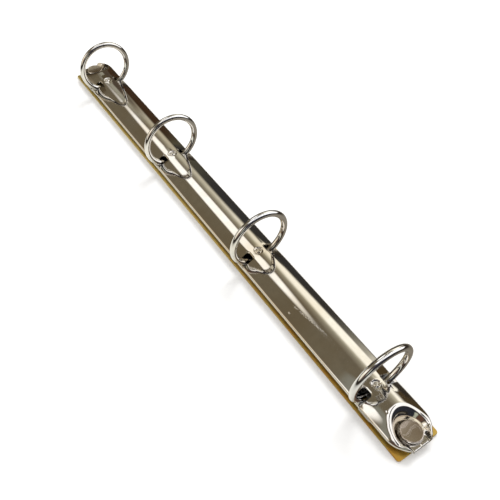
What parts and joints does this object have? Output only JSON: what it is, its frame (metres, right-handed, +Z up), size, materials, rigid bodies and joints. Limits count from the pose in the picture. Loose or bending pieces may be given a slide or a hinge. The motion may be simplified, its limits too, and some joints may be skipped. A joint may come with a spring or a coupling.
{
  "type": "ring binder clip",
  "caption": "Ring binder mechanism: a domed sprung cover over hinge plates that carry round split rings, riveted at both ends to a flat yellow-plated base plate.",
  "frame": {"origin": "centre of the base plate's underside", "axes": "+X along the mechanism towards the near rivet, +Y across it, +Z up from the binder's board through the rings"},
  "size_m": [0.293, 0.0304, 0.0327],
  "materials": {
    "cover_nickel": "mirror nickel plating on steel sheet",
    "ring_nickel": "mirror nickel plating on steel wire",
    "rivet_nickel": "nickel plating, fine scratches on the flat head",
    "zinc_plated_steel": "satin zinc plating",
    "yellow_plated_steel": "yellow passivated zinc plating with a faint rainbow tint"
  },
  "bodies": {
    "frame": {"base_plate": "yellow_plated_steel", "cover": "cover_nickel", "rivet_far": "rivet_nickel", "rivet_near": "rivet_nickel", "collar_far": "zinc_plated_steel", "collar_near": "zinc_plated_steel"},
    "left_half": {"hinge_plate_left": "zinc_plated_steel", "ring_1_left": "ring_nickel", "ring_2_left": "ring_nickel", "ring_3_left": "ring_nickel", "ring_4_left": "ring_nickel"},
    "right_half": {"hinge_plate_right": "zinc_plated_steel", "ring_1_right": "ring_nickel", "ring_2_right": "ring_nickel", "ring_3_right": "ring_nickel", "ring_4_right": "ring_nickel"}
  },
  "joints": [
    {"name": "open_right", "type": "hinge", "parent": "frame", "child": "right_half", "pos_m": [0, 0.0088, 0.00434], "axis": [-1, 0, 0], "range_deg": [0, 15.5]},
    {"name": "open_left", "type": "hinge", "parent": "frame", "child": "left_half", "pos_m": [0, -0.0088, 0.00434], "axis": [1, 0, 0], "range_deg": [0, 15.5]}
  ],
  "couplings": [
    {"joint": "open_left", "follows": "open_right", "ratio": 1}
  ]
}
